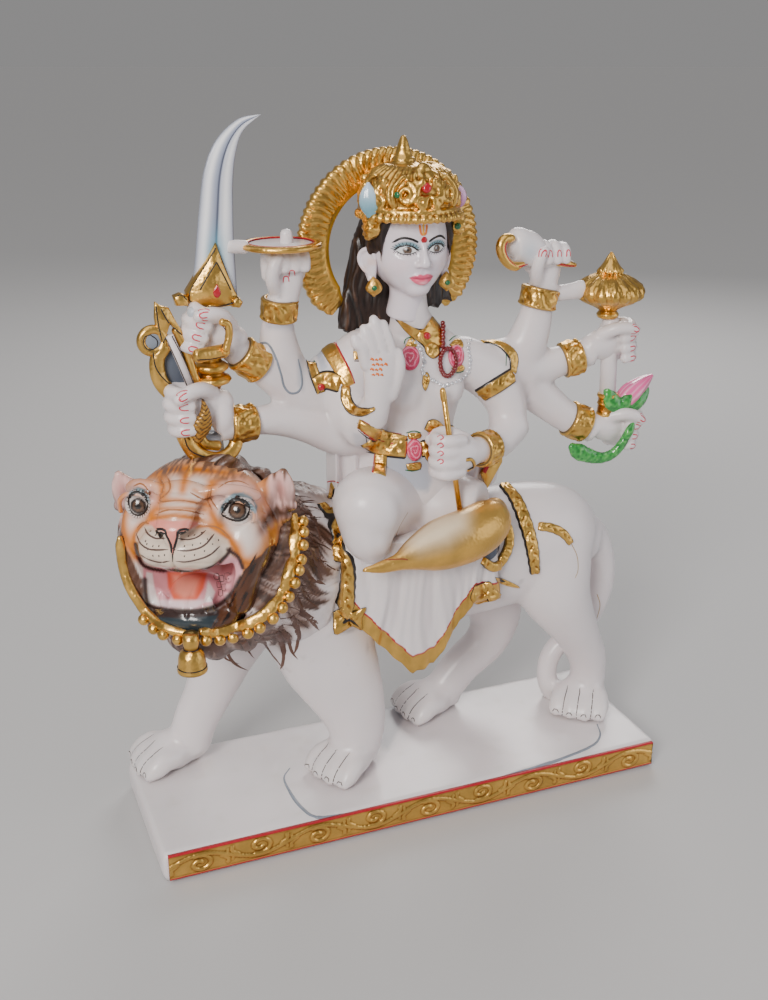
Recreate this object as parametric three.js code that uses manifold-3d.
// A painted marble statue, carved in one block: an eight-armed goddess seated on a walking lion, with the
// plinth that both stand on. Millimetres, +Z up, +X along the plinth, the front of the statue faces -Y.
// The origin is the middle of the plinth's underside.
import * as THREE from "three";
import { mergeVertices } from "three/addons/utils/BufferGeometryUtils.js";
import Module from "manifold-3d";

// Driving dimensions of the plinth and the carved band on its front.
const PLINTH_LENGTH = 400;
const PLINTH_DEPTH = 130;
const PLINTH_HEIGHT = 24;
const PLINTH_CORNER_RADIUS = 5;
const BAND_FOOT = 3.5; // plain marble left under the band
const BAND_THICKNESS = 1.2; // how far the band's ground stands out of the plinth
const SCROLL_RELIEF = 1.3; // how far the scrolls stand out of the band
const SCROLL_PITCH = 44;

// Driving dimensions of the figure, from the plinth's top to the sword's tip, and of its thin attributes.
const FIGURE_HEIGHT = 481;
const STAFF_DIAMETER = 4;
const BLADE_THICKNESS = 6;
const DISC_RADIUS = 27;
const DISC_THICKNESS = 4;
const MACE_HEAD_RADIUS = 29;
const MACE_ROD_DIAMETER = 12;
const HALO_RADIUS = 67;
const HALO_WIDTH = 23;
const HALO_DEPTH = 11;
const HALO_RIBS = 24;
const BANGLE_THICKNESS = 3;
const COLLAR_BEADS = 15;
const COLLAR_BEAD_RADIUS = 4.4;
const MANE_TUFTS = 15;
const BELL_RADIUS = 9;
const BELL_HEIGHT = 20;
const STRAP_THICKNESS = 2;
const STRAP_WIDTH = 13;
const SKIRT_PLEATS = 7;
const PLEAT_DEPTH = 4;
const TOES = 4;
const FINGERS = 4;

// The pose is laid out on a grid 481 units high, with its ground at the plinth's top, and scaled to the figure.
const GRID_HEIGHT = 481;
const unit = FIGURE_HEIGHT / GRID_HEIGHT;
const SKIN_TOLERANCE = 2.2; // how far a face may move when the skin is made lighter
const ROOT_DEPTH = 2; // how far paws and cloth run into the plinth, so that all is one block

const wasm = await Module();
wasm.setup();

const vec = (a) => new THREE.Vector3(...a);
const lerp = THREE.MathUtils.lerp;
const degrees = THREE.MathUtils.degToRad;

// A closed geometry as a solid that can be joined and cut.
function solid(geometry) {
  const bare = geometry.clone();
  for (const name of Object.keys(bare.attributes)) if (name !== "position") bare.deleteAttribute(name);
  const merged = mergeVertices(bare, 1e-4);
  return new wasm.Manifold(
    new wasm.Mesh({
      numProp: 3,
      vertProperties: merged.attributes.position.array,
      triVerts: new Uint32Array(merged.index.array),
    }),
  );
}

// One solid from many.
const join = (parts) => parts.reduce((whole, part) => whole.add(part));

// A form with others cut out of it, kept as two lists until the figure is scaled and put on its plinth.
const carved = (from, cut) => ({ from: [from].flat(Infinity), cut: [cut].flat(Infinity) });

// Closes a list of rings of points into a skin: quads between the rings and a fan at each end.
function closeRings(rings) {
  const count = rings[0].length;
  const position = rings.flat().flatMap((p) => [p.x, p.y, p.z]);
  const index = [];
  for (let i = 0; i + 1 < rings.length; i++)
    for (let j = 0; j < count; j++) {
      const [a, b] = [i * count + j, i * count + ((j + 1) % count)];
      index.push(a, b, a + count, b, b + count, a + count);
    }
  for (const [i, first] of [[0, true], [rings.length - 1, false]]) {
    const centre = rings[i].reduce((s, p) => s.add(p), new THREE.Vector3()).divideScalar(count);
    const pole = position.length / 3;
    position.push(centre.x, centre.y, centre.z);
    for (let j = 0; j < count; j++) {
      const [a, b] = [i * count + j, i * count + ((j + 1) % count)];
      index.push(pole, first ? b : a, first ? a : b);
    }
  }
  const geometry = new THREE.BufferGeometry();
  geometry.setAttribute("position", new THREE.Float32BufferAttribute(position, 3));
  geometry.setIndex(index);
  return geometry;
}

// A limb: a skin through stations [x, y, z, r1, r2], where r1 is the half width along the direction across
// and r2 the half width at right angles to it. flute(t, angle) makes the radius larger or smaller.
function limb(stations, { sides = 8, steps = 1, across = [0, 1, 0], flute = () => 1, roundEnds = false } = {}) {
  const path = new THREE.CatmullRomCurve3(stations.map((s) => vec(s)), false, "catmullrom", 0.5);
  const widths = new THREE.CatmullRomCurve3(
    stations.map((s) => new THREE.Vector3(s[3], s[4] ?? s[3], 0)), false, "catmullrom", 0.5);
  const side = vec(across).normalize();
  const ring = (t, shrink, shift) => {
    const tangent = path.getTangent(t);
    const u = side.clone().addScaledVector(tangent, -side.dot(tangent)).normalize();
    const v = tangent.clone().cross(u);
    const width = widths.getPoint(t);
    const centre = path.getPoint(t).addScaledVector(tangent, shift * Math.min(width.x, width.y));
    return Array.from({ length: sides }, (_, j) => {
      const angle = (2 * Math.PI * j) / sides;
      const grow = shrink * flute(t, angle);
      return centre.clone()
        .addScaledVector(u, Math.cos(angle) * width.x * grow)
        .addScaledVector(v, Math.sin(angle) * width.y * grow);
    });
  };
  const count = (stations.length - 1) * steps;
  const rings = Array.from({ length: count + 1 }, (_, i) => ring(i / count, 1, 0));
  if (roundEnds) {
    rings.unshift(ring(0, 0.62, -0.6));
    rings.push(ring(1, 0.62, 0.6));
  }
  return closeRings(rings);
}

// An ellipsoid with its own half widths, turned by degrees about Z.
function ellipsoid(centre, radii, turn = 0, detail = 8) {
  const geometry = new THREE.SphereGeometry(1, detail, Math.ceil(detail * 0.7));
  geometry.scale(...radii);
  geometry.rotateZ(degrees(turn));
  geometry.translate(...centre);
  return geometry;
}

// A turned shape from its profile of [radius, height] points, tilted by degrees about X and Y.
function turned(profile, centre, segments = 12, tilt = [0, 0]) {
  const geometry = new THREE.LatheGeometry(profile.map((p) => new THREE.Vector2(...p)), segments);
  geometry.rotateX(Math.PI / 2);
  geometry.rotateX(degrees(tilt[0]));
  geometry.rotateY(degrees(tilt[1]));
  geometry.translate(...centre);
  return geometry;
}

// A flat plate cut to an outline of [x, z] points, with its middle at the depth y.
function plate(outline, y, thickness, bevel = 0) {
  const shape = new THREE.Shape(outline.map((p) => new THREE.Vector2(...p)));
  const geometry = new THREE.ExtrudeGeometry(shape, {
    depth: thickness - 2 * bevel,
    bevelEnabled: bevel > 0,
    bevelSize: bevel,
    bevelThickness: bevel,
    bevelOffset: -bevel,
    bevelSegments: 1,
  });
  geometry.translate(0, 0, -(thickness - 2 * bevel) / 2);
  geometry.rotateX(Math.PI / 2);
  geometry.translate(0, y, 0);
  return geometry;
}

// A rod of one thickness between two points.
function rod(from, to, radius, sides = 6) {
  const [a, b] = [vec(from), vec(to)];
  const geometry = new THREE.CylinderGeometry(radius, radius, a.distanceTo(b), sides);
  geometry.rotateX(Math.PI / 2);
  geometry.lookAt(b.clone().sub(a));
  geometry.translate(...a.add(b).multiplyScalar(0.5).toArray());
  return geometry;
}

// A frame at a place: it turns local distances forward, sideways and up into a point of the grid.
function basis(origin, forward, up) {
  const f = vec(forward).normalize();
  const u = vec(up).addScaledVector(f, -vec(up).dot(f)).normalize();
  const s = f.clone().cross(u);
  return (a, b, c) => vec(origin).addScaledVector(f, a).addScaledVector(s, b).addScaledVector(u, c).toArray();
}

const limbIn = (at, stations, options) => limb(stations.map((s) => [...at(s[0], s[1], s[2]), ...s.slice(3)]), options);

// A row of fingers, toes or beads side by side: one limb that swells at each of them.
// place(t) gives a point and two half widths for t from 0 to 1, and waist is how thin it gets between two.
function row(count, place, { waist = 0.72, sides = 6, across = [0, 0, 1] } = {}) {
  const stations = Array.from({ length: 2 * count + 1 }, (_, i) => {
    const [x, y, z, a, b] = place(i / (2 * count));
    const grow = i % 2 ? 1 : waist;
    return [x, y, z, a * grow, b * grow];
  });
  return limb(stations, { sides, across });
}

// A closed hand. forward runs from the wrist to the knuckles, and up along what the hand grips.
function fist(origin, forward, up, size = 1, thumbSide = 1) {
  const at = basis(origin, forward, up);
  const k = size;
  const across = up;
  const palm = limbIn(at, [[-15 * k, 0, 0, 9 * k, 8 * k], [-3 * k, 0, 0, 13 * k, 9 * k], [7 * k, 0, 0, 13 * k, 8 * k]],
    { across });
  const knuckles = row(FINGERS, (t) => [...at(8 * k, -thumbSide * 2 * k, lerp(-14, 14, t) * k), 7.5 * k, 9 * k],
    { across: forward });
  const tips = row(FINGERS, (t) => [...at(4 * k, thumbSide * 8 * k, lerp(-13, 11, t) * k), 6 * k, 5 * k],
    { across: forward, sides: 5 });
  const thumb = limbIn(at, [[-8 * k, thumbSide * 4 * k, 9 * k, 4.5 * k], [3 * k, thumbSide * 10 * k, 12 * k, 4.4 * k],
    [12 * k, thumbSide * 10 * k, 9 * k, 3.2 * k]], { sides: 5, across });
  return [palm, knuckles, tips, thumb];
}

// A bangle: a short swollen tube round a wrist.
function bangle(from, to, radius, lift = BANGLE_THICKNESS) {
  const [a, b] = [vec(from), vec(to)];
  const at = (t) => a.clone().lerp(b, t).toArray();
  const r = radius + lift;
  return limb([[...at(0), r - 0.8], [...at(0.5), r + 0.8], [...at(1), r - 0.8]], { sides: 8 });
}

// A lion's paw. heading is in degrees from +X, and the ankle stands over the origin.
function paw(x, y, heading, size = 1) {
  const [c, s] = [Math.cos(degrees(heading)), Math.sin(degrees(heading))];
  const at = basis([x, y, 0], [c, s, 0], [0, 0, 1]);
  const k = size;
  const pad = limbIn(at, [[-15 * k, 0, 7, 11 * k, 9 * k], [0, 0, 12, 17 * k, 15 * k], [16 * k, 0, 10, 18 * k, 13 * k]],
    { across: [-s, c, 0] });
  const arc = (t) => 17 - 7 * (2 * t - 1) ** 2;
  const toes = row(TOES, (t) => [...at(arc(t) * k, lerp(-20, 20, t) * k, 8), 17 * k, 11 * k], { waist: 0.74, across: [c, s, 0] });
  return [pad, toes];
}

// The lion's trunk, legs and tail.
function lionBody() {
  const trunk = limb([[-124, 6, 172, 26, 38], [-104, 11, 167, 38, 54], [-70, 14, 162, 41, 60], [-20, 14, 156, 38, 54],
    [40, 14, 152, 36, 50], [92, 14, 155, 38, 50], [130, 14, 157, 39, 45], [156, 14, 153, 31, 36], [168, 14, 150, 18, 22]],
  { sides: 14 });
  const legs = [
    [[-64, -6, 130, 20, 44], [-57, -7, 101, 19, 38], [-49, -8, 80, 18, 33], [-40, -9, 56, 16, 27], [-36, -10, 36, 15, 23],
      [-37, -10, 12, 15, 19]],
    [[-98, 36, 150, 20, 38], [-112, 40, 112, 18, 30], [-126, 42, 82, 16, 23], [-136, 43, 60, 15, 20],
      [-147, 44, 38, 14, 18], [-155, 46, 12, 15, 17]],
    [[126, -2, 152, 24, 40], [134, -6, 118, 23, 30], [146, -5, 95, 20, 23], [160, -2, 72, 17, 18], [172, 2, 50, 15, 16],
      [176, 5, 30, 14, 15], [174, 7, 10, 15, 16]],
    [[96, 38, 142, 22, 38], [102, 42, 106, 20, 29], [108, 45, 76, 17, 22], [100, 46, 54, 15, 19], [80, 46, 38, 14, 17],
      [62, 46, 18, 14, 16]],
  ].map((stations) => limb(stations, { sides: 9 }));
  const paws = [paw(-40, -10, 205), paw(-165, 47, 187), paw(173, 7, 232), paw(54, 46, 188)];
  const tail = limb([[140, 15, 158, 16], [165, 16, 160, 14], [182, 18, 146, 12.5], [192, 20, 116, 11.5], [190, 22, 88, 10.5],
    [180, 26, 64, 9.5], [164, 29, 51, 9], [152, 29, 36, 8.5], [151, 28, 16, 8.5], [158, 27, -4, 8]],
  { sides: 7 });
  return [trunk, legs, paws, tail];
}

// The lion's head, on a frame that looks out past the block's front corner, with its jaws open.
const HEAD_HEADING = [-0.47, -0.88, 0];
const LION_ACROSS = [-0.88, 0.47, 0];
const headAt = basis([-154, -22, 214], HEAD_HEADING, [0, 0, 1]);
const onHead = (stations, options) => limbIn(headAt, stations, { across: LION_ACROSS, ...options });

function lionHead() {
  const skull = onHead([[-30, 0, 4, 44, 40], [-10, 0, 5, 54, 48], [10, 0, 6, 55, 47], [26, 0, 7, 49, 42], [38, 0, 7, 37, 32],
    [44, 0, 7, 20, 18]], { sides: 14 });
  const muzzle = onHead([[30, 0, 12, 38, 19], [48, 0, 10, 35, 16], [57, 0, 9, 25, 12], [60, 0, 9, 12, 7]], { sides: 10 });
  const jaw = onHead([[0, 0, -28, 42, 18], [24, 0, -33, 38, 10], [42, 0, -34, 29, 8], [49, 0, -34, 16, 6]], { sides: 10 });
  const mouth = onHead([[8, 0, -12, 22, 8], [36, 0, -14, 33, 11], [66, 0, -14, 34, 12]], { sides: 10 });
  const tongue = onHead([[6, 0, -24, 17, 5], [32, 0, -24, 16, 5], [45, 0, -26, 11, 4]]);
  const nose = onHead([[48, 0, 31, 12, 5], [59, 0, 27, 12, 6], [61, 0, 18, 5, 6]], { sides: 6 });
  const eyes = [-1, 1].map((s) => ellipsoid(headAt(35, 32 * s, 31), [9, 9, 8]));
  const ears = [-1, 1].map((s) => onHead([[-4, 44 * s, 18, 12, 6], [-2, 56 * s, 28, 11, 6], [-1, 58 * s, 44, 5, 3.5]],
    { sides: 6, across: LION_ACROSS }));
  return [carved([skull, muzzle, jaw], mouth), tongue, nose, eyes, ears];
}

// The mane: two skirts of pointed tufts round the face and throat, running back over the neck into the trunk.
function mane() {
  const tufts = (depth) => (t, angle) => 1 + depth(t) * Math.cos(MANE_TUFTS * angle);
  const front = onHead([[12, 0, -4, 50, 49], [0, -1, -12, 60, 60], [-13, -4, -24, 62, 73], [-24, -7, -26, 54, 62]],
    { sides: 2 * MANE_TUFTS, flute: tufts((t) => (t > 0.5 && t < 0.8 ? 0.08 : 0.02)) });
  const neck = limb([...[[-12, -4, -10, 55, 58], [-32, -14, -30, 58, 64], [-48, -18, -36, 57, 62]].map(
    (s) => [...headAt(s[0], s[1], s[2]), ...s.slice(3)]), [-86, 8, 172, 46, 61], [-62, 13, 164, 40, 58]],
  { sides: 2 * MANE_TUFTS, across: [-0.75, 0.66, 0], flute: tufts((t) => (t > 0.4 && t < 0.6 ? 0.05 : 0.01)) });
  return [front, neck];
}

// The lion's collar: a row of beads round the face and throat, and a bell under the chin.
function collar() {
  const beads = row(COLLAR_BEADS, (t) => {
    const angle = degrees(lerp(-206, 26, t));
    const drop = Math.max(0, -Math.sin(angle));
    const at = headAt(-8 + 26 * drop ** 2, -1 + 62 * Math.cos(angle), -4 + 60 * Math.sin(angle));
    return [...at, COLLAR_BEAD_RADIUS * 1.3, COLLAR_BEAD_RADIUS * 1.6];
  }, { waist: 0.66, sides: 5, across: HEAD_HEADING });
  const r = BELL_RADIUS;
  const h = BELL_HEIGHT;
  const [x, y, z] = headAt(24, 2, -67);
  const bell = turned([[0, -h], [r, -h], [r, -h * 0.85], [r * 0.62, -h * 0.35], [r * 0.45, h * 0.2], [0, h * 0.2]], [x, y, z], 9);
  return [beads, bell];
}

// A strap laid over the trunk: a band that follows the body's section at one place along it.
function strap(x, y, z, halfDepth, halfHeight, fromAngle, toAngle, lean = 0) {
  const count = 7;
  const points = Array.from({ length: count + 1 }, (_, i) => {
    const angle = degrees(lerp(fromAngle, toAngle, i / count));
    const rise = Math.sin(angle) * (halfHeight + STRAP_THICKNESS / 2);
    return [x - lean * rise, y + Math.cos(angle) * (halfDepth + STRAP_THICKNESS / 2), z + rise,
      STRAP_WIDTH / 2, STRAP_THICKNESS];
  });
  return limb(points, { sides: 4, across: [1, 0, 0] });
}

function harness() {
  const front = strap(-43, 14, 160, 40.5, 58, 70, 208, 0.12);
  const rear = strap(112, 14, 156, 39, 47.5, 70, 200, 0.25);
  const crupper = limb([[104, -24, 172, 5, 3], [122, -25, 172, 5, 3], [138, -22, 167, 5, 3], [148, -16, 158, 5, 3]],
    { sides: 4, across: [0, 0, 1] });
  const bow = limb([[-58, -26, 130, 8, 4], [-46, -28, 133, 4, 5], [-33, -27, 128, 8, 4]], { sides: 5, across: [0, 0, 1] });
  return [front, rear, crupper, bow];
}

// The goddess's trunk, from the seat to the neck.
function trunk() {
  const body = limb([[12, 10, 190, 46, 34], [11, 8, 222, 47, 34], [11, 6, 246, 42, 29], [14, 4, 268, 31, 23],
    [16, 2, 290, 33, 24], [16, 4, 308, 36, 22], [16, 6, 322, 34, 18], [14, 6, 336, 19, 14], [11, 4, 348, 13.5, 13.5],
    [9, 3, 370, 13, 13]],
  { sides: 12, across: [1, 0, 0] });
  const bust = [-1, 1].map((s) => ellipsoid([16 + 15 * s, -12, 295], [15, 12, 14]));
  const belt = limb([[12, 5, 249, 45, 32], [12, 5, 257, 43, 31], [12, 4, 265, 38, 28]], { sides: 12, across: [1, 0, 0] });
  const buckle = plate([[2, 245], [24, 245], [27, 257], [24, 269], [2, 269], [-1, 257]], -28, 8, 2);
  return [body, bust, belt, buckle];
}

// The head faces nearly the same way as the block's front. [x, z] of its axis and of the eyes and chin:
const FACE = { x: 8, brow: 402, eyes: 394, nose: 386, lips: 375, chin: 364 };

function head() {
  const x = FACE.x;
  const skull = ellipsoid([x, 2, 396], [27, 29, 32], 0, 10);
  const face = limb([[x, -5, 412, 25, 22], [x, -6, FACE.eyes + 2, 25.5, 22], [x, -7, FACE.nose - 2, 24, 20.5],
    [x, -9, FACE.lips - 2, 18, 17], [x, -11, FACE.chin, 8, 10]], { sides: 12, across: [1, 0, 0] });
  const nose = limb([[x, -26, FACE.brow, 3, 3], [x, -31, FACE.nose + 1, 4, 4], [x, -29, FACE.nose - 3, 5, 3]],
    { sides: 5, across: [1, 0, 0] });
  const lips = limb([[x - 8, -24, FACE.lips + 1, 2, 2], [x, -28, FACE.lips, 3, 3], [x + 8, -24, FACE.lips + 1, 2, 2]],
    { sides: 5, across: [0, 0, 1] });
  const ears = [-1, 1].map((s) => limb([[x + 25 * s, -2, 372, 3, 3], [x + 28 * s, -1, 382, 4, 6], [x + 27 * s, 0, 392, 3, 5]],
    { sides: 6, across: [1, 0, 0] }));
  const earrings = [-1, 1].map((s) => limb([[x + 26 * s, -7, 362, 2, 2], [x + 26 * s, -7, 367, 5.5, 4.5],
    [x + 26 * s, -6, 375, 2, 2]], { sides: 6, across: [1, 0, 0] }));
  return [skull, face, nose, lips, ears, earrings];
}

// Hair, combed back from under the crown and falling behind the shoulders.
function hair() {
  const fall = limb([[FACE.x, 12, 414, 28, 21], [FACE.x - 1, 14, 396, 35, 20], [FACE.x - 1, 13, 372, 37, 16],
    [FACE.x, 14, 350, 43, 13], [FACE.x, 14, 334, 40, 10]],
  { sides: 14, across: [1, 0, 0], flute: (t, angle) => 1 + 0.05 * t * Math.cos(7 * angle) });
  const sides = [-1, 1].map((s) => limb([[FACE.x + 22 * s, -6, 410, 6, 12], [FACE.x + 28 * s, 2, 392, 7, 11],
    [FACE.x + 32 * s, 7, 366, 8, 11], [FACE.x + 40 * s, 8, 344, 6, 9]], { sides: 6, across: [1, 0, 0] }));
  return [fall, sides];
}

// The crown: a domed cap with a beaded rim, raised leaves, a jewel, two plumes and a finial.
function crown() {
  const [x, y] = [FACE.x, -1];
  const cap = limb([[x, y, 414, 31.5, 33.5], [x, y, 421, 31.5, 33.5], [x, y, 424, 30.5, 32.5], [x, y, 436, 31, 33],
    [x, y, 445, 25, 27], [x, y, 451, 13, 15]], { sides: 14, across: [1, 0, 0] });
  const rim = limb([[x, y, 413, 32, 34], [x, y, 416, 34, 36], [x, y, 419, 32, 34]],
    { sides: 32, across: [1, 0, 0], flute: (t, angle) => 1 + 0.02 * Math.cos(16 * angle) });
  const leaves = [-66, -33, 0, 33, 66].map((turn) => {
    const angle = degrees(-90 + turn);
    const [c, s] = [Math.cos(angle), Math.sin(angle)];
    const at = (out, z) => [x + c * out, y - 2 + s * out, z];
    const tall = 27 - Math.abs(turn) * 0.1;
    return limb([[...at(30, 421), 8, 4], [...at(31, 421 + tall * 0.5), 8.5, 4.5], [...at(23, 421 + tall), 2.5, 3]],
      { sides: 5, across: [-s, c, 0] });
  });
  const knobs = [-1, 1].map((s) => ellipsoid([x + 30 * s, -9, 408], [6, 7, 7.5], 0, 6));
  const plumes = [-1, 1].map((s) => limb([[x + 32 * s, -10, 421, 5, 3], [x + 34 * s, -10, 432, 7, 3],
    [x + 34 * s, -8, 444, 2, 2]], { sides: 6 }));
  const gem = ellipsoid([x, y - 37, 436], [4, 3, 4], 0, 6);
  const finial = turned([[0, 448], [12, 448], [12, 452], [6, 454], [5, 459], [0.8, 465], [0, 465]], [x - 2, 0, 0], 9);
  return [cap, rim, leaves, knobs, plumes, gem, finial];
}

// The halo: a ribbed ring behind the head, open at the bottom where it meets the shoulders.
function halo() {
  const [x, y, z] = [2, 20, 391];
  const middle = HALO_RADIUS - HALO_WIDTH / 2;
  const count = 2 * HALO_RIBS;
  const stations = Array.from({ length: count + 1 }, (_, i) => {
    const angle = degrees(lerp(-46, 226, i / count));
    const taper = Math.min(1, 0.35 + Math.min(i, count - i) / (count * 0.07));
    const rib = i % 2 ? 1 : 0.82;
    return [x + middle * Math.cos(angle), y, z + middle * Math.sin(angle), (HALO_DEPTH / 2) * taper * rib,
      (HALO_WIDTH / 2) * taper * (i % 2 ? 1 : 0.97)];
  });
  return limb(stations, { sides: 6 });
}

// Arms on the figure's right: one raised in blessing, and three that fan out with bow, sword and discus.
function rightArms() {
  const shoulder = limb([[-2, 6, 318, 14, 14], [-24, 5, 320, 17, 18], [-38, 2, 306, 17, 17], [-38, -8, 286, 15, 15],
    [-33, -19, 272, 12, 12]], { roundEnds: true });
  const blessing = limb([[-36, -14, 271, 12, 12], [-32, -28, 284, 11, 11], [-29, -34, 298, 9.5, 9]], { across: [1, 0, 0] });
  const hub = limb([[-34, 8, 316, 16, 18], [-52, 8, 300, 15, 20], [-66, 6, 290, 12, 20]]);
  const bowArm = limb([[-14, 0, 266, 14, 13], [-40, 2, 267, 15, 17], [-70, 0, 278, 12, 13], [-96, -3, 284, 10, 10.5],
    [-116, -6, 284, 9, 9.5], [-130, -7, 285, 10, 11]]);
  const swordArm = limb([[-56, 6, 292, 13, 17], [-76, 4, 302, 12, 14], [-92, 2, 314, 10.5, 11.5], [-106, 0, 326, 9, 9.5],
    [-118, -2, 336, 9, 10]]);
  const discArm = limb([[-62, 6, 292, 13, 16], [-76, 6, 312, 12.5, 14], [-84, 5, 334, 12, 13], [-84, 3, 352, 10, 10.5],
    [-82, 1, 366, 9, 9.5]]);
  const bangles = [bangle([-122, -6, 284], [-104, -4, 284], 9.5), bangle([-112, -1, 331], [-98, 1, 319], 9.5),
    bangle([-83, 2, 364], [-84, 4, 351], 10)];
  return [shoulder, blessing, hub, bowArm, swordArm, discArm, bangles, blessingHand()];
}

// The hand raised in blessing: an open palm with its fingers together, facing out.
function blessingHand() {
  const palm = limb([[-28, -36, 292, 10, 7], [-27, -38, 304, 15, 7], [-25, -40, 320, 16, 6.5], [-25, -41, 330, 15, 5]],
    { across: [1, 0, 0] });
  const fingers = [0, 1, 2, 3].map((k) => {
    const x = -37 + k * 7.6;
    const tall = [350, 356, 357, 349][k];
    return limb([[x, -41, 324, 4, 4.6], [x * 0.95, -42, lerp(326, tall, 0.6), 4, 4.2], [x * 0.95, -41, tall, 2.4, 2.4]],
      { sides: 5, across: [1, 0, 0] });
  });
  const thumb = limb([[-14, -40, 306, 5, 5], [-8, -42, 320, 4.4, 4.4], [-8, -43, 331, 2.6, 2.6]], { sides: 5, across: [1, 0, 0] });
  return [palm, fingers, thumb];
}

// Arms on the figure's left: one rests on the staff, and three fan out with conch, mace and lotus.
function leftArms() {
  const upper = limb([[32, 6, 314, 15, 15], [56, 5, 308, 16, 18], [76, 2, 294, 16, 18], [86, -3, 274, 14, 15],
    [84, -8, 256, 13, 13]], { roundEnds: true });
  const fore = limb([[88, -8, 260, 13, 14], [72, -18, 252, 12, 12], [56, -28, 252, 10, 10], [44, -34, 254, 9, 9]],
    { across: [0, 0, 1] });
  const hub = limb([[70, 8, 300, 16, 20], [94, 9, 298, 15, 24], [110, 9, 292, 14, 22]]);
  const conchArm = limb([[96, 9, 298, 14, 18], [106, 8, 316, 13, 16], [111, 6, 334, 11, 13.5], [113, 5, 348, 10, 11.5],
    [118, 4, 362, 10, 12]]);
  const maceArm = limb([[102, 9, 296, 14, 16], [122, 8, 298, 12, 13], [138, 5, 302, 10.5, 11.5], [158, 2, 307, 10, 10.5]]);
  const lotusArm = limb([[102, 9, 290, 13, 16], [122, 8, 273, 12, 14], [142, 5, 257, 11, 12], [164, 1, 246, 10, 11]]);
  const bangles = [bangle([112, 5, 344], [115, 5, 357], 11.5), bangle([136, 5, 301], [150, 3, 304], 10.5),
    bangle([144, 5, 256], [158, 3, 249], 11), bangle([62, -26, 252], [50, -32, 253], 9.5)];
  const armlets = [bangle([64, 5, 303], [78, 2, 292], 16.5, 2.5), bangle([-38, 0, 298], [-37, -7, 288], 15, 2.5)];
  return [upper, fore, hub, conchArm, maceArm, lotusArm, bangles, armlets];
}

// The sword, held upright: a curved blade, a pointed guard, a grip and a pommel.
function sword() {
  const spine = new THREE.CatmullRomCurve3([[-126, 0, 372], [-126, 0, 392], [-124, 0, 420], [-119, 0, 446], [-111, 0, 466],
    [-92, 0, 481]].map(vec));
  const halfWidths = [15, 14.5, 12.5, 10, 7, 0.6];
  const count = 7;
  const left = [];
  const right = [];
  for (let i = 0; i <= count; i++) {
    const t = i / count;
    const p = spine.getPoint(t);
    const tangent = spine.getTangent(t);
    const place = t * (halfWidths.length - 1);
    const low = Math.min(Math.floor(place), halfWidths.length - 2);
    const half = lerp(halfWidths[low], halfWidths[low + 1], place - low);
    left.push([p.x - tangent.z * half, p.z + tangent.x * half]);
    right.unshift([p.x + tangent.z * half, p.z - tangent.x * half]);
  }
  const blade = plate([...left, ...right], 0, BLADE_THICKNESS, BLADE_THICKNESS * 0.1);
  const guard = plate([[-152, 372], [-147, 364], [-112, 364], [-106, 368], [-108, 374], [-118, 392], [-126, 404],
    [-135, 390], [-144, 378]], 0, BLADE_THICKNESS + 6, 2.5);
  const grip = rod([-131, -1, 366], [-131, -3, 326], 6);
  const pommel = turned([[0, 0], [7, 0], [15, 9], [15, 15], [8, 18], [8, 26], [0, 26]], [-133, -3, 312], 9);
  return [blade, guard, grip, pommel, fist([-132, -3, 347], [-0.9, 0, 0.35], [0.1, 0, 1], 1.05, -1)];
}

// The bow, drawn in close: a recurved limb from the fist to the lion's brow, with an arrow through the hand.
function bow() {
  const curl = turned([[0, -4], [9, -4], [9, 4], [0, 4]], [-171, -6, 346], 9, [90, 0]);
  const stave = limb([[-168, -6, 340, 4, 6], [-172, -6, 332, 4, 5.5], [-169, -7, 320, 4, 5.5], [-155, -8, 308, 4, 5]], { sides: 6 });
  const head = plate([[-172, 341], [-165, 370], [-149, 346], [-154, 343], [-161, 354], [-163, 334]], -7, 8, 1.5);
  const web = plate([[-164, 345], [-156, 345], [-143, 312], [-158, 312], [-168, 326]], -5, 4);
  const belly = limb([[-154, -11, 298, 4, 5], [-154, -11, 280, 4, 6], [-144, -11, 268, 4, 5.5], [-130, -10, 264, 4, 5],
    [-121, -8, 270, 4, 5.5], [-118, -6, 282, 4, 5]], { sides: 6 });
  const backing = limb([[-140, -4, 256, 8, 14], [-138, -4, 280, 7, 10]], { sides: 6 });
  return [curl, stave, head, web, belly, backing, fist([-146, -9, 300], [-1, -0.1, 0], [-0.2, 0, 1], 1.1, -1)];
}

// The discus, balanced on a hand, with the short bridge of stone that ties it to the blade.
function discus() {
  const centre = [-82, 0, 400];
  const edge = DISC_THICKNESS / 2;
  const disc = turned([[0, -edge], [DISC_RADIUS - 2, -edge], [DISC_RADIUS, 0], [DISC_RADIUS - 1, edge],
    [DISC_RADIUS - 5, edge], [DISC_RADIUS - 6, 0.6], [0, 0.6]], centre, 16);
  const finger = limb([[-78, 0, 396, 4.5], [-78, 0, 406, 4], [-78, 0, 409, 2]], { sides: 6 });
  const bridge = rod([-118, 0, 401], [-104, 0, 400], 4.5);
  const hand = limb([[-82, 1, 362, 9, 10], [-80, 0, 374, 11, 13], [-79, -1, 388, 11, 15], [-79, -1, 398, 9, 14]], { sides: 8 });
  const fingers = row(FINGERS, (t) => [lerp(-93, -64, t), -10, 387, 8, 4], { sides: 5 });
  return [disc, finger, bridge, hand, fingers];
}

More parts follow.
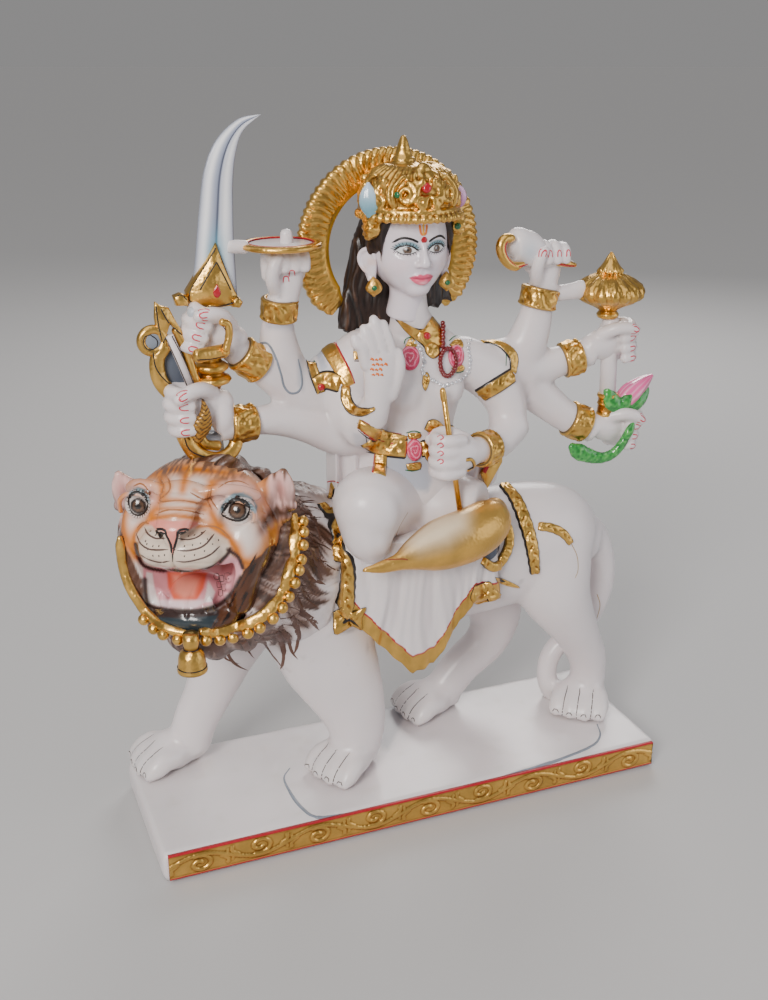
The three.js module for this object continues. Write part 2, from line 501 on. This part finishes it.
// The conch in its hand, and the bridge of stone from that hand to the mace.
function conch() {
  const shell = limb([[77, 0, 390, 8, 9], [80, 0, 390, 11, 13], [88, 0, 388, 9, 12], [98, 0, 385, 11, 13], [112, 0, 380, 9, 9],
    [126, 0, 376, 4.5, 4], [137, 0, 374, 2, 2]], { sides: 9 });
  const hand = limb([[119, 4, 358, 10, 13], [114, 3, 372, 12, 14], [115, 2, 384, 10, 13], [118, 1, 391, 8, 9]], { sides: 8 });
  const fingers = row(FINGERS, (t) => [lerp(103, 132, t), -7, lerp(390, 383, t), 7, 4.6], { sides: 5 });
  const bridge = limb([[116, 3, 354, 6, 8], [130, 2, 353, 5, 6], [148, 0, 355, 5, 7]], { sides: 7 });
  return [shell, hand, fingers, bridge];
}

// The mace: a ribbed, onion-shaped head on a rod, held upright over the lotus hand.
function mace() {
  const r = MACE_HEAD_RADIUS;
  const [x, y] = [169, 0];
  const head = limb([[x, y, 330, 9], [x, y, 336, 9], [x, y, 344, r * 0.72], [x, y, 352, r * 0.96], [x, y, 359, r],
    [x, y, 366, r * 0.72], [x, y, 372, r * 0.3], [x, y, 380, 1]],
  { sides: 24, across: [1, 0, 0], flute: (t, angle) => (t > 0.2 && t < 0.8 ? 1 + 0.035 * Math.cos(12 * angle) : 1) });
  const shaft = rod([172, 0, 334], [174, 0, 258], MACE_ROD_DIAMETER / 2, 8);
  const cap = rod([173.6, 0, 276], [174, 0, 260], MACE_ROD_DIAMETER / 2 + 1.2, 8);
  return [head, shaft, cap, fist([173, 0, 313], [0.95, 0, 0.1], [0, 0, 1], 1.02, 1)];
}

// The lotus: a bud on a bent stem with leaves, in the lowest hand.
function lotus() {
  const stem = limb([[144, -4, 234, 4, 4], [156, -5, 229, 4, 5.5], [172, -7, 226, 4, 5], [182, -10, 234, 4, 4.5],
    [187, -12, 246, 3.5, 4]], { sides: 6 });
  const bud = limb([[184, -2, 262, 7, 7], [193, -2, 271, 8, 8], [203, -2, 278, 5, 5], [211, -2, 282, 1, 1]], { sides: 8 });
  const leaves = limb([[172, -3, 276, 4, 4], [180, -4, 270, 7, 8], [192, -4, 264, 7, 9], [206, -3, 272, 3, 3]], { sides: 7 });
  return [stem, bud, leaves, fist([182, 0, 246], [0.95, 0, -0.15], [0.1, 0, 1], 1.02, 1)];
}

// The staff held in front of the trunk, with the hand that rests on it.
function staff() {
  const shaft = rod([23, -33, 292], [33, -40, 208], STAFF_DIAMETER / 2);
  const finial = limb([[22, -22, 290, 5, 5], [22.5, -32, 292, 4, 5]], { sides: 6, across: [1, 0, 0] });
  return [shaft, finial, fist([30, -37, 254], [-0.97, -0.2, 0.05], [-0.05, 0, 1], 1.05, 1)];
}

// The legs: the right knee raised over the lion's shoulder, the left leg folded across in front.
function legs() {
  const thigh = limb([[0, 4, 208, 30, 28], [-18, -14, 216, 27, 27], [-33, -31, 223, 26, 26], [-40, -42, 222, 22, 22],
    [-44, -47, 221, 12, 12]], { sides: 11, across: [0.7, -0.7, 0] });
  const calf = limb([[-38, -38, 214, 20, 19], [-34, -41, 190, 19, 17], [-28, -38, 160, 16, 14]], { across: [1, 0, 0] });
  const leftThigh = limb([[20, 2, 206, 30, 26], [42, -14, 206, 26, 24], [56, -28, 207, 18, 19]], { across: [0.6, 0.8, 0] });
  const shin = limb([[60, -30, 212, 13, 13], [53, -40, 209, 18, 19], [34, -48, 202, 16, 20], [8, -54, 196, 13, 16],
    [-14, -57, 192, 9, 10], [-34, -59, 191, 6, 6], [-47, -60, 192, 2.5, 2]], { sides: 10, roundEnds: true });
  return [thigh, calf, leftThigh, shin];
}

// A hanging cloth: a slab whose front is laid out by a function of u, across, and v, down, and whose back is flat.
function cloth(front, backY, columns, rows) {
  const position = [];
  const index = [];
  const at = (side, i, j) => side * (columns + 1) * (rows + 1) + j * (columns + 1) + i;
  for (const side of [0, 1])
    for (let j = 0; j <= rows; j++)
      for (let i = 0; i <= columns; i++) {
        const [x, y, z] = front(i / columns, j / rows);
        position.push(x, side ? backY : y, z);
      }
  const quad = (a, b, c, d) => index.push(a, b, c, a, c, d);
  for (let j = 0; j < rows; j++)
    for (let i = 0; i < columns; i++) {
      quad(at(0, i, j), at(0, i, j + 1), at(0, i + 1, j + 1), at(0, i + 1, j));
      quad(at(1, i, j), at(1, i + 1, j), at(1, i + 1, j + 1), at(1, i, j + 1));
    }
  for (let i = 0; i < columns; i++) {
    quad(at(0, i, 0), at(0, i + 1, 0), at(1, i + 1, 0), at(1, i, 0));
    quad(at(0, i, rows), at(1, i, rows), at(1, i + 1, rows), at(0, i + 1, rows));
  }
  for (let j = 0; j < rows; j++) {
    quad(at(0, 0, j), at(1, 0, j), at(1, 0, j + 1), at(0, 0, j + 1));
    quad(at(0, columns, j), at(0, columns, j + 1), at(1, columns, j + 1), at(1, columns, j));
  }
  const geometry = new THREE.BufferGeometry();
  geometry.setAttribute("position", new THREE.Float32BufferAttribute(position, 3));
  geometry.setIndex(index);
  return geometry;
}

// The height of a line of [u, z] corners at u.
function along(corners, u) {
  const k = Math.max(1, corners.findIndex((p) => p[0] >= u));
  const [a, b] = [corners[k - 1], corners[k]];
  return lerp(a[1], b[1], (u - a[0]) / (b[0] - a[0]));
}

// The skirt that hangs down the lion's side in pleats, the hem round the knee and the ends of the scarf.
function drapery() {
  const hem = [[0, 147], [0.17, 122], [0.41, 89], [0.55, 93], [0.65, 113], [0.81, 138], [1, 132]];
  const skirt = cloth((u, v) => {
    const pleat = Math.cos(u * SKIRT_PLEATS * 2 * Math.PI) * PLEAT_DEPTH * (0.3 + 0.7 * v);
    const x = lerp(lerp(-50, 66, u), lerp(-56, 72, u), v);
    const bulge = 14 * Math.sin(Math.PI * u) ** 0.6;
    return [x, -30 - bulge * (1 - 0.25 * v) - pleat * 0.6, lerp(196, along(hem, u), v)];
  }, -8, SKIRT_PLEATS * 3, 3);
  const kneeHem = limb([[60, -24, 222, 9, 3], [69, -30, 211, 10, 3.5], [71, -32, 197, 10, 3.5], [66, -32, 183, 9, 3],
    [56, -32, 176, 7, 3]], { sides: 5 });
  const scarfRight = cloth((u, v) => [lerp(-48, -14, u), -2 - 3 * Math.cos(u * 14), lerp(262, 200, v)], 16, 5, 1);
  const scarfLeft = cloth((u, v) => [lerp(66, 90, u) - v * 10, -4 - 2 * Math.cos(u * 9), lerp(250, 206 + 10 * u, v)], 8, 4, 1);
  return [skirt, kneeHem, scarfRight, scarfLeft];
}

// The plinth, with a running scroll carved along the band on its front.
function plinth() {
  const [l, d, r] = [PLINTH_LENGTH / 2, PLINTH_DEPTH / 2, PLINTH_CORNER_RADIUS];
  const shape = new THREE.Shape();
  shape.moveTo(-l + r, -d);
  shape.lineTo(l - r, -d);
  shape.absarc(l - r, -d + r, r, -Math.PI / 2, 0);
  shape.lineTo(l, d - r);
  shape.absarc(l - r, d - r, r, 0, Math.PI / 2);
  shape.lineTo(-l + r, d);
  shape.absarc(-l + r, d - r, r, Math.PI / 2, Math.PI);
  shape.lineTo(-l, -d + r);
  shape.absarc(-l + r, -d + r, r, Math.PI, Math.PI * 1.5);
  const block = new THREE.ExtrudeGeometry(shape, { depth: PLINTH_HEIGHT, bevelEnabled: false, curveSegments: 3 });
  return [block, scrollBand(l - r, -d)].flat(Infinity);
}

function scrollBand(halfLength, frontY) {
  const [foot, top] = [BAND_FOOT, PLINTH_HEIGHT - 1];
  const middle = (foot + top) / 2;
  const tall = top - foot;
  const y = frontY - BAND_THICKNESS;
  const ground = plate([[-halfLength, foot], [halfLength, foot], [halfLength, top], [-halfLength, top]],
    frontY - BAND_THICKNESS / 2 + 1, BAND_THICKNESS + 2);
  const count = Math.floor((2 * halfLength) / SCROLL_PITCH);
  const pitch = (2 * halfLength) / count;
  const stem = Array.from({ length: 4 * count + 1 }, (_, k) => [-halfLength + 1 + (k / (4 * count)) * (2 * halfLength - 2), y,
    middle + tall * 0.34 * Math.sin((Math.PI * k) / 4), SCROLL_RELIEF, 1.6]);
  const curls = Array.from({ length: count }, (_, i) => {
    const flip = i % 2 ? -1 : 1;
    const x = -halfLength + pitch * (i + 0.5);
    return limb(Array.from({ length: 6 }, (_, k) => {
      const angle = flip * (1.2 + k * 1.1);
      const r = tall * (0.34 - 0.035 * k);
      return [x + r * Math.cos(angle) * 1.3, y, middle - flip * tall * 0.14 + r * Math.sin(angle), SCROLL_RELIEF, 1.3];
    }), { sides: 4 });
  });
  return [ground, limb(stem, { sides: 4 }), curls];
}

// The outer skin of a solid as a geometry. Pockets sealed inside the stone, where parts overlap, are left out.
function outerSkin(whole) {
  const mesh = whole.getMesh();
  const [corners, width] = [mesh.triVerts, mesh.numProp];
  const group = Array.from({ length: mesh.numVert }, (_, i) => i);
  const find = (i) => {
    while (group[i] !== i) i = group[i] = group[group[i]];
    return i;
  };
  for (let i = 0; i < corners.length; i += 3) {
    group[find(corners[i + 1])] = find(corners[i]);
    group[find(corners[i + 2])] = find(corners[i]);
  }
  const counts = new Map();
  for (let i = 0; i < corners.length; i += 3) {
    const shell = find(corners[i]);
    counts.set(shell, (counts.get(shell) ?? 0) + 1);
  }
  const outer = [...counts.entries()].sort((a, b) => b[1] - a[1])[0][0];
  const place = new Map();
  const position = [];
  const index = [];
  for (const corner of corners) {
    if (find(corner) !== outer) continue;
    if (!place.has(corner)) {
      place.set(corner, position.length / 3);
      position.push(...mesh.vertProperties.subarray(corner * width, corner * width + 3));
    }
    index.push(place.get(corner));
  }
  const geometry = new THREE.BufferGeometry();
  geometry.setAttribute("position", new THREE.Float32BufferAttribute(position, 3));
  geometry.setIndex(index);
  return geometry;
}

// A lighter skin over the same form: edges whose loss moves no face by more than the tolerance are closed up,
// as long as the skin stays whole and no face turns over. The error of a place is its squared distance from
// the planes of the faces it stands for, summed in ten numbers.
function lighten(geometry, tolerance) {
  const points = Array.from({ length: geometry.attributes.position.count },
    (_, i) => new THREE.Vector3().fromBufferAttribute(geometry.attributes.position, i));
  const corners = geometry.index.array;
  const faces = Array.from({ length: corners.length / 3 }, (_, i) => [...corners.slice(3 * i, 3 * i + 3)]);
  const around = points.map(() => new Set());
  const errors = points.map(() => new Float64Array(10));
  const normal = (a, b, c) => b.clone().sub(a).cross(c.clone().sub(a));
  faces.forEach((face, f) => {
    const [a, b, c] = face.map((i) => points[i]);
    const n = normal(a, b, c).normalize();
    const q = [n.x, n.y, n.z, -n.dot(a)];
    for (const i of face) {
      around[i].add(f);
      for (let r = 0, k = 0; r < 4; r++) for (let s = r; s < 4; s++) errors[i][k++] += q[r] * q[s];
    }
  });
  const error = (i, j, p) => {
    const v = [p.x, p.y, p.z, 1];
    let sum = 0;
    for (let r = 0, k = 0; r < 4; r++)
      for (let s = r; s < 4; s++) sum += (errors[i][k] + errors[j][k++]) * v[r] * v[s] * (r === s ? 1 : 2);
    return sum;
  };
  const neighbours = (i) => new Set([...around[i]].flatMap((f) => faces[f]).filter((j) => j !== i));
  const keepsFacing = (i, gone, p) => [...around[i]].every((f) => {
    if (faces[f].includes(gone)) return true;
    const before = normal(...faces[f].map((k) => points[k]));
    const after = normal(...faces[f].map((k) => (k === i ? p : points[k])));
    return after.length() > 1e-3 && before.normalize().dot(after.normalize()) > 0.35;
  });
  for (let pass = 0; pass < 30; pass++) {
    const edges = [];
    faces.forEach((face) => face && face.forEach((i, k) => {
      const j = face[(k + 1) % 3];
      if (i > j) return;
      const choices = [points[i], points[j], points[i].clone().lerp(points[j], 0.5)].map((p) => [error(i, j, p), p]);
      const [cost, p] = choices.sort((a, b) => a[0] - b[0])[0];
      if (cost < tolerance ** 2) edges.push([cost, i, j, p]);
    }));
    edges.sort((a, b) => a[0] - b[0]);
    const moved = new Set();
    for (const [, i, j, p] of edges) {
      if (moved.has(i) || moved.has(j)) continue;
      const [ring, other] = [neighbours(i), neighbours(j)];
      if ([...ring].filter((k) => other.has(k)).length !== 2) continue;
      if (!keepsFacing(i, j, p) || !keepsFacing(j, i, p)) continue;
      for (const f of [...around[j]]) {
        if (faces[f].includes(i)) {
          for (const k of faces[f]) around[k].delete(f);
          faces[f] = null;
        } else {
          faces[f] = faces[f].map((k) => (k === j ? i : k));
          around[i].add(f);
        }
      }
      around[j].clear();
      points[i] = p.clone();
      for (let k = 0; k < 10; k++) errors[i][k] += errors[j][k];
      for (const k of [i, j, ...ring, ...other]) moved.add(k);
    }
    if (!moved.size) break;
  }
  const place = new Map();
  const position = [];
  const index = faces.filter(Boolean).flat().map((i) => {
    if (!place.has(i)) {
      place.set(i, position.length / 3);
      position.push(...points[i].toArray());
    }
    return place.get(i);
  });
  const light = new THREE.BufferGeometry();
  light.setAttribute("position", new THREE.Float32BufferAttribute(position, 3));
  light.setIndex(index);
  return light;
}

// The figure stands on the plinth's top, with its feet run a little into the stone.
function figure() {
  const place = (geometry) => geometry.clone().scale(unit, unit, unit).translate(0, 0, PLINTH_HEIGHT);
  const all = (list) => join(list.map((geometry) => solid(place(geometry))));
  const parts = [lionBody(), lionHead(), mane(), collar(), harness(), trunk(), head(), hair(), crown(), halo(), rightArms(),
    leftArms(), sword(), bow(), discus(), conch(), mace(), lotus(), staff(), legs(), drapery()].flat(Infinity);
  const whole = join(parts.map((part) => (part.cut ? all(part.from).subtract(all(part.cut)) : solid(place(part)))));
  const under = new THREE.BoxGeometry(PLINTH_LENGTH * 2, PLINTH_DEPTH * 3, PLINTH_HEIGHT);
  const skin = lighten(outerSkin(whole), SKIN_TOLERANCE);
  return solid(skin).subtract(solid(under.translate(0, 0, PLINTH_HEIGHT / 2 - ROOT_DEPTH)));
}

const block = join([...plinth().map(solid), figure()]);

const marble = new THREE.MeshStandardMaterial({ color: 0xe6dedd, roughness: 0.32, metalness: 0 });
const statue = new THREE.Mesh(outerSkin(block), marble);
statue.name = "durga_statue";

const group = new THREE.Group();
group.add(statue);
export default group;
